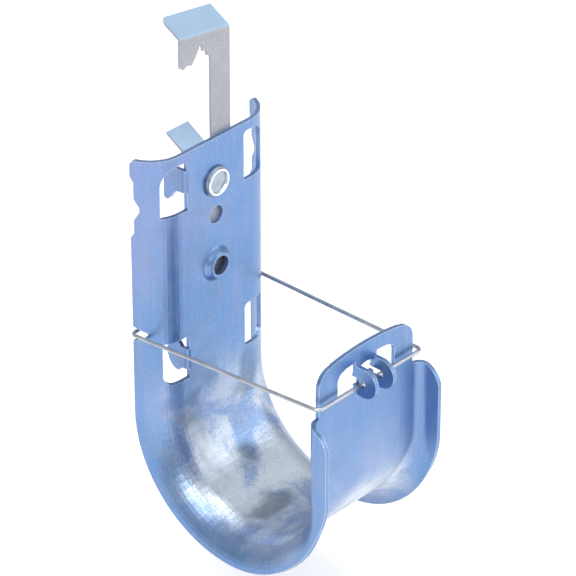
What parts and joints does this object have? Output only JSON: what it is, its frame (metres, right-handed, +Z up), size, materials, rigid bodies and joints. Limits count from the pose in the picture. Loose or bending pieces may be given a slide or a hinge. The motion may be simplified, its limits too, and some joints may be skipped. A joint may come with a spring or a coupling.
{
  "type": "j hook cable support",
  "caption": "Open J shaped sheet hook that carries cable bundles, with a toothed flange clip above it and a wire retainer across its mouth.",
  "frame": {"origin": "root of the jaw of the flange clip, at mid-thickness of the clip sheet, where the edge of a beam flange sits", "axes": "+Z up, away from the hook; +Y back, away from the cables; +X across the hook along the cable run"},
  "size_m": [0.0688, 0.1026, 0.2164],
  "materials": {
    "hook_sheet": "galvanised, blue cast",
    "wire": "bright zinc plated",
    "clip_sheet": "dull grey coated spring steel",
    "rivet": "bright plated"
  },
  "bodies": {
    "support": {"hook": "hook_sheet", "flange_clip": "clip_sheet", "rivet": "rivet"},
    "wire": {"retainer": "wire"}
  },
  "joints": [
    {"name": "retainer_swing", "type": "hinge", "parent": "support", "child": "wire", "pos_m": [0.005, -0.0822, -0.1162], "axis": [1, 0, 0], "range_deg": [0, 180], "deforming": ["retainer"]}
  ]
}
